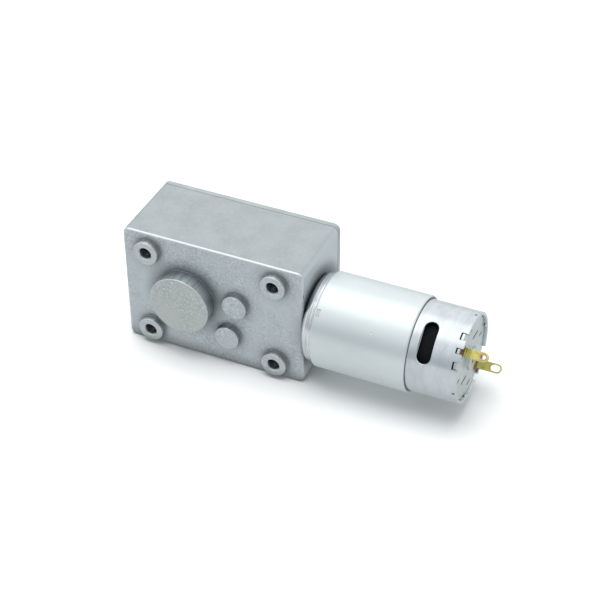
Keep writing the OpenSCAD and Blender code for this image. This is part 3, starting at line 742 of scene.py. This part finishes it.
def cover_screws():
    """Countersunk machine screws, each turned a different way by its own tightening."""
    top = screws_high.y - 0.04
    neck_r, neck_y, shank_to, core_r, pitch = 1.05, -2.4, -2.2, 1.0, 0.45
    profile = [(0, neck_y), (neck_r, neck_y), (SCREW_R, -1.1),
               (SCREW_HEAD_R - 0.03, top - 0.1, 0.05), (SCREW_HEAD_R - 0.25, top, 0.05), (0, top)]
    screws = []
    for k, at in enumerate(posts):
        place = along_y(*at)
        head = turned(rounded(profile, 3), place, 64)
        shank = threaded(place, screws_low.y, shank_to, core_r, SCREW_R, pitch)
        # a cross recess, from the half length, half width and height of its bottom and of its top
        turn = place @ Matrix.Rotation(0.5 + 1.1 * k, 4, "Z")
        slots = []
        for a in (0, math.pi / 2):
            blade = turn @ Matrix.Rotation(a, 4, "Z")
            rings = [[blade @ Vector((u, v, h)) for u, v in ((-l, -w), (l, -w), (l, w), (-l, w))]
                     for l, w, h in ((0.45, 0.14, -0.9), (1.2, 0.25, top + 0.1))]
            slots.append(skin(rings))
        screws.append(cut_or_join(head, add=[shank], cut=slots))
    return piece(gather(screws), "cover_screw_set", "case", "cover_screws", finishes["screw_steel"])


def output_shaft():
    low, high = box("output_shaft")
    gear_low = box("output_gear")[0].y
    collar_low = box("output_spacer")[1].y
    journal_r, free_r, step_y, chamfer = 5.0, 4.0, -0.1, 0.5
    collar_r = (high.x - low.x) / 2
    centre_hole = [(1.05, high.y), (0.35, high.y - 0.9), (0, high.y - 1.3)]
    profile = [(0, low.y), (journal_r, low.y, 0.3), (journal_r, collar_low),
               (collar_r, collar_low, 0.15), (collar_r, gear_low, 0.15), (journal_r, gear_low),
               (journal_r, step_y, 0.25), (free_r, step_y, 0.2), (free_r, high.y - chamfer, 0.1),
               (free_r - chamfer, high.y, 0.1)] + centre_hole
    shaft = turned(rounded(profile, 4), along_y(0, 0), 128)
    # the D flat, and a relief groove where it starts
    flat_start, flat_z, cutter_r, clear = 2.5, 3.0, 0.15, 6
    flat = [(flat_start, flat_z, cutter_r), (high.y + 1, flat_z),
            (high.y + 1, clear), (flat_start, clear)]
    mill = skin([[(x, py, pz) for py, pz in rounded(flat, 8)] for x in (-7, 7)])
    relief_r, relief_low = 3.7, flat_start - 0.5
    groove = [(clear, relief_low), (clear, flat_start),
              (relief_r, flat_start, 0.1), (relief_r, relief_low, 0.1)]
    relief = turned(rounded(groove, 3), along_y(0, 0), 128, loop=True)
    cut_or_join(shaft, cut=[mill, relief])
    return piece(shaft, "shaft", "output", "output_shaft", finishes["shaft_steel"])


# ---- motor ----

can_low, can_high = box("motor_can")
ring_low, ring_high = box("flux_ring")
plate_low, plate_high = box("end_plate")
CAN_R = 13.6
BORE_R = 12.6
PLATE_T = 0.8
TERMINAL_R = 10.4
# angles round the motor in degrees: its two terminals' sides, and the terminals' own turn from them
SIDES = (90, 270)
TERMINAL_TURN = -2
# notches in the can's rim as (degrees from a side, width), and the gap round the ears in them
RIM_NOTCHES = ((-18.5, 2.3), (0, 1.7), (18.5, 2.3))
EAR_GAP = 0.35
can_l = can_high.x - motor_x
plate_from = plate_low.x - motor_x


def spun(angle, along=0):
    """The motor's frame, turned so that its Y points that many degrees round from its X."""
    return on_motor(along) @ Matrix.Rotation(math.radians(angle - 90), 4, "Z")


def vent(side):
    """Cutter for an obround slot across the can, with a slightly rolled-in edge."""
    width, length, start, roll = 4.1, 12.2, 35.45, 0.18
    place = spun(side, start + width / 2)
    rings = []
    # each ring's lift from the can's surface, and how much it grows beyond the slot
    for lift, grow in ((-2.5, 0), (-roll, 0), (0.02, roll), (1.5, roll)):
        half_w, half_l = width / 2 + grow, length / 2 + grow
        outline = pill(half_l, -half_w, half_w, half_w - 0.01, 10)
        rings.append([place @ Vector((across, math.sqrt(CAN_R ** 2 - across ** 2) + lift, along))
                      for across, along in outline])
    return skin(rings)


def motor_can():
    nose_bore, nose_l, wall = 2.5, motor_x - can_low.x, 1
    profile = [(nose_bore, -nose_l), (NOSE_R, -nose_l, 0.2), (NOSE_R, 0, 0.15), (CAN_R, 0, 2.0),
               (CAN_R, can_l, 0.22), (BORE_R, can_l, 0.22), (BORE_R, wall, 1.0), (nose_bore, wall)]
    can = turned(rounded(profile, 7), on_motor(), 160, loop=True)
    cut = [vent(side) for side in SIDES]
    add = []
    stake_turn, stake_in, stake_r, dent_r, bolt_r = 58, 0.8, 0.5, 0.42, 1.25
    for side in SIDES:
        for turn, width in RIM_NOTCHES:
            place = spun(side + turn, plate_from)
            cut.append(brick((-width / 2, BORE_R - 1, -EAR_GAP),
                             (width / 2, CAN_R + 2, PLATE_T + 3), place))
        # stakes hold the end plate in, and each has a dent outside it
        for turn in (-stake_turn, stake_turn):
            place = spun(side + turn, can_l - stake_in)
            outwards = place @ Matrix.Rotation(-math.pi / 2, 4, "X")
            cut.append(rod(outwards, CAN_R - 0.6, CAN_R + 1, dent_r, 24))
            add.append(bead(stake_r, place @ Matrix.Translation((0, BORE_R + 0.05, 0.35))))
    cut += [rod(motor_bolt(way), -1, 2, bolt_r) for way in (-1, 1)]
    cut_or_join(can, cut=cut)
    cut_or_join(can, add=add)
    return piece(can, "can", "case", "motor_can", finishes["can_steel"])


def flux_ring():
    """Strip rolled round the can, with a seam, and a notch and a dent towards the front."""
    start, end = ring_low.x - motor_x, ring_high.x - motor_x
    inner, outer = CAN_R + 0.01, (ring_high.z - ring_low.z) / 2
    profile = [(inner, start), (outer, start, 0.22), (outer, end, 0.65), (inner, end)]
    ring = turned(rounded(profile, 4), on_motor(), 192, loop=True)
    seam_half, seam_turn = 0.1, -30
    seam = brick((-seam_half, CAN_R - 1, start - 1), (seam_half, outer + 1, end + 1),
                 spun(seam_turn))
    notch_l, half_w, corner, notch_turn = 1.7, 1.1, 0.3, 91
    outline = rounded([(-half_w, start - 1), (half_w, start - 1),
                       (half_w, start + notch_l, corner), (-half_w, start + notch_l, corner)], 4)
    stood = Matrix.Rotation(math.pi / 2, 4, "X")
    place = spun(notch_turn) @ stood @ Matrix.Translation((0, 0, -outer - 1))
    notch = prism(outline, place, 0, 3)
    dent_r, dent_turn, dent_at = 0.45, 97, 21.4
    dent = bead(dent_r, spun(dent_turn, dent_at) @ Matrix.Translation((0, outer + 0.3, 0)))
    cut_or_join(ring, cut=[seam, notch, dent])
    return piece(ring, "ring", "case", "flux_ring", finishes["ring_steel"])


def end_plate():
    """Round plate with ears in the can's notches, a raised bearing seat, and slots through it."""
    boss_r, bore_r, top = 3.5, 2.5, plate_high.x - motor_x
    rim_r, deck, side_gap = BORE_R - 0.01, plate_from + PLATE_T, EAR_GAP / 2
    lip_r, lip_low, lip_high = 1.25, box("rear_bush")[1].x - motor_x + 0.02, top + 0.35
    profile = [(bore_r, plate_from), (rim_r, plate_from, 0.05), (rim_r, deck, 0.15),
               (boss_r + 1.2, deck), (boss_r, deck + 0.25, 0.2), (boss_r, lip_high, 0.35),
               (lip_r, lip_high, 0.05), (lip_r, lip_low), (bore_r, lip_low)]
    plate = turned(rounded(profile, 3), on_motor(), 128, loop=True)
    add, cut = [], []
    for side in SIDES:
        for turn, width in RIM_NOTCHES:
            add.append(brick((-width / 2 + side_gap, BORE_R - 1, plate_from + 0.05),
                             (width / 2 - side_gap, CAN_R - 0.25, deck - 0.05), spun(side + turn)))
        cut.append(brick((-2, TERMINAL_R - 1, plate_from - 1), (2, TERMINAL_R + 1, deck + 1),
                         spun(side + TERMINAL_TURN)))
    # one slot of each pair: its middle's Y and Z from the motor's axis, and its length along Y
    half_w, end_r = 0.3, 0.28
    for y, z, length in ((9.1, 1.9, 2.2), (4.1, 5.3, 4.4), (0.95, -9.8, 3.2)):
        outline = pill(length / 2, -half_w, half_w, end_r, 4)
        for s in (-1, 1):
            centre = Matrix.Translation((motor_x + plate_from, motor_axis.y + s * y,
                                         motor_axis.z + s * z))
            cut.append(skin([[centre @ Vector((h, u, v)) for u, v in outline]
                             for h in (-1, PLATE_T + 1)]))
    cut_or_join(plate, add=add)
    cut_or_join(plate, cut=cut)
    return piece(plate, "rear_plate", "case", "end_plate", finishes["end_steel"])


def terminal(name, node, side, eye_r, eye_l, eye_in, finish=None):
    """Stamped tab with an oval eye, three ridges pressed across its root and softened edges."""
    width, thick = 2.8, 0.5
    half, soften = width / 2, 0.08
    root, tip = (corner.x - motor_x for corner in box(node))
    tip_r = half - 0.01
    outline = rounded([(-half, root, 0.1), (half, root, 0.1),
                       (half, tip, tip_r), (-half, tip, tip_r)], 10)
    eye_high = tip - eye_in
    eye = pill(eye_r, eye_high - eye_l, eye_high, eye_r - 0.01, 8)
    shape = bpy.data.curves.new(name, "CURVE")
    shape.dimensions = "2D"
    shape.fill_mode = "BOTH"
    shape.extrude = (thick / 2 - soften) * MM
    shape.bevel_depth = soften * MM
    shape.offset = -soften * MM
    shape.bevel_resolution = 2
    for line in (outline, eye):
        spline = shape.splines.new("POLY")
        spline.points.add(len(line) - 1)
        spline.use_cyclic_u = True
        for point, (u, v) in zip(spline.points, line):
            point.co = (u * MM, v * MM, 0, 1)
    drawn = bpy.data.objects.new(name, shape)
    scene.collection.objects.link(drawn)
    mesh = evaluated(drawn)
    bpy.data.objects.remove(drawn)
    # the drawing's X goes across the tab and its Y along the motor
    side += TERMINAL_TURN
    stood = Matrix.Rotation(math.pi / 2, 4, "X")
    place = spun(side) @ Matrix.Translation((0, TERMINAL_R, 0)) @ stood
    mesh.transform(Matrix.Scale(MM, 4) @ place @ Matrix.Scale(1 / MM, 4))
    weld(mesh)
    tab = bpy.data.objects.new(name, mesh)
    scene.collection.objects.link(tab)
    ridge_r, ridge_half, first, pitch = 0.25, 1.2, PLATE_T + 0.75, 0.75
    lifted = Matrix.Translation((0, TERMINAL_R + thick / 2, 0))
    across = Matrix.Rotation(math.pi / 2, 4, "Y")
    ridges = []
    for k in range(3):
        place = spun(side, plate_from + first + k * pitch) @ lifted @ across
        ridges.append(rod(place, -ridge_half, ridge_half, ridge_r, 16))
    cut_or_join(tab, add=ridges)
    return piece(tab, name, "case", node, finish or finishes["terminal_brass"])


gearbox_housing()
gearbox_cover()
cover_gasket()
cover_screws()
output_shaft()
motor_can()
flux_ring()
end_plate()
# solder flux has closed part of the near tab's eye and stains the brass round it
near, far = SIDES
stain_at = spun(near + TERMINAL_TURN, can_l + 5.2) @ Vector((0, TERMINAL_R, 0))
stained = terminal_brass("stained_brass", tuple(stain_at))
terminal("tab_front", "terminal_front", near, eye_r=0.58, eye_l=1.6, eye_in=0.9, finish=stained)
terminal("tab_back", "terminal_back", far, eye_r=0.95, eye_l=2.85, eye_in=0.45)


# ---- stage, light and camera ----

def softbox(name, at, aim, size, power):
    lamp = bpy.data.lights.new(name, "AREA")
    lamp.shape = "RECTANGLE"
    lamp.size, lamp.size_y = size
    lamp.energy = power
    thing = bpy.data.objects.new(name, lamp)
    thing.location = at
    thing.rotation_euler = (Vector(aim) - Vector(at)).to_track_quat("-Z", "Y").to_euler()
    # metal mirrors the room alone, whose own bright patch stands where this lamp is
    thing.visible_glossy = False
    scene.collection.objects.link(thing)


def floor():
    """Plain pale paper that the object stands on."""
    half = 2.5
    level = cad_low.z
    mesh = bpy.data.meshes.new("floor")
    mesh.from_pydata([(x * half, y * half, level) for x, y in ((-1, -1), (1, -1), (1, 1), (-1, 1))],
                     [], [(0, 1, 2, 3)])
    thing = bpy.data.objects.new("floor", mesh)
    scene.collection.objects.link(thing)
    f = Finish("paper", metallic=0.0)
    weave = f.noise(0.8, detail=3)
    f.bump(weave, 0.02, 0.3)
    paper = f.blend(weave, (0.88, 0.89, 0.89, 1), (0.90, 0.91, 0.91, 1))
    # metal mirrors the paper darker and more even than the overexposed ground in the picture
    mirrored = f.math("MULTIPLY", f.add("ShaderNodeLightPath").outputs["Is Glossy Ray"], 0.75)
    f.feed(f.shader.inputs["Emission Color"], (0.54, 0.562, 0.567, 1))
    f.feed(f.shader.inputs["Emission Strength"], mirrored)
    mesh.materials.append(f.done(f.blend(mirrored, paper, (0, 0, 0, 1)), 0.8))


def surroundings():
    """White room, brighter behind the motor than in front of it, with a bright patch overhead."""
    world = bpy.data.worlds.new("room")
    world.use_nodes = True
    scene.world = world
    nodes, links = world.node_tree.nodes, world.node_tree.links
    view = nodes.new("ShaderNodeTexCoord").outputs["Generated"]

    def along(direction, low, high):
        """0 to 1 as the direction looked in turns from low to high along the given one."""
        dot = nodes.new("ShaderNodeVectorMath")
        dot.operation = "DOT_PRODUCT"
        dot.inputs[1].default_value = direction
        links.new(view, dot.inputs[0])
        stretch = nodes.new("ShaderNodeMapRange")
        stretch.interpolation_type = "SMOOTHSTEP" if low > 0 else "LINEAR"
        links.new(dot.outputs["Value"], stretch.inputs["Value"])
        stretch.inputs["From Min"].default_value = low
        stretch.inputs["From Max"].default_value = high
        return stretch.outputs["Result"]

    walls = nodes.new("ShaderNodeValToRGB")
    links.new(along((-0.2, 0.45, 0.87), -0.5, 1), walls.inputs[0])
    low, high = walls.color_ramp.elements
    low.position, low.color = 0.10, (0.45, 0.48, 0.50, 1)
    high.position, high.color = 0.95, (1.02, 1.04, 1.04, 1)
    for position, colour in ((0.28, (0.56, 0.59, 0.61, 1)), (0.48, (0.80, 0.83, 0.84, 1))):
        walls.color_ramp.elements.new(position).color = colour
    whole = nodes.new("ShaderNodeMix")
    whole.data_type = "RGBA"
    links.new(along((-0.26, 0.04, 0.965), 0.82, 0.97), whole.inputs["Factor"])
    links.new(walls.outputs["Color"], whole.inputs["A"])
    whole.inputs["B"].default_value = (1.45, 1.45, 1.45, 1)
    back = nodes["Background"]
    links.new(whole.outputs["Result"], back.inputs["Color"])
    # matt things get less light from the room than metal mirrors, which deepens the shadows
    rays = nodes.new("ShaderNodeLightPath")
    dim = nodes.new("ShaderNodeMapRange")
    links.new(rays.outputs["Is Diffuse Ray"], dim.inputs["Value"])
    dim.inputs["To Min"].default_value = 1.0
    dim.inputs["To Max"].default_value = 0.7
    links.new(dim.outputs["Result"], back.inputs["Strength"])


def camera():
    """Camera that looks at the object as the photograph's does."""
    aim = Vector((31.0, -13.6, -0.85)) * MM
    azimuth, elevation, roll = (math.radians(a) for a in (24.4, 38.3, -0.3))
    distance = 0.494
    level = math.cos(elevation)
    back = Vector((math.sin(azimuth) * level, -math.cos(azimuth) * level, math.sin(elevation)))
    lens = bpy.data.cameras.new("camera")
    lens.lens, lens.sensor_width = 100.1, 36
    lens.clip_start, lens.clip_end = 0.01, 20
    thing = bpy.data.objects.new("camera", lens)
    turn = (-back).to_track_quat("-Z", "Y").to_matrix() @ Matrix.Rotation(roll, 3, "Z")
    thing.matrix_world = Matrix.Translation(aim + back * distance) @ turn.to_4x4()
    scene.collection.objects.link(thing)
    scene.camera = thing


floor()
surroundings()
softbox("overhead", (-0.03, -0.03, 0.90), (0.02, 0, 0), (0.85, 0.65), 7.3)
camera()
scene.view_settings.view_transform = "Standard"
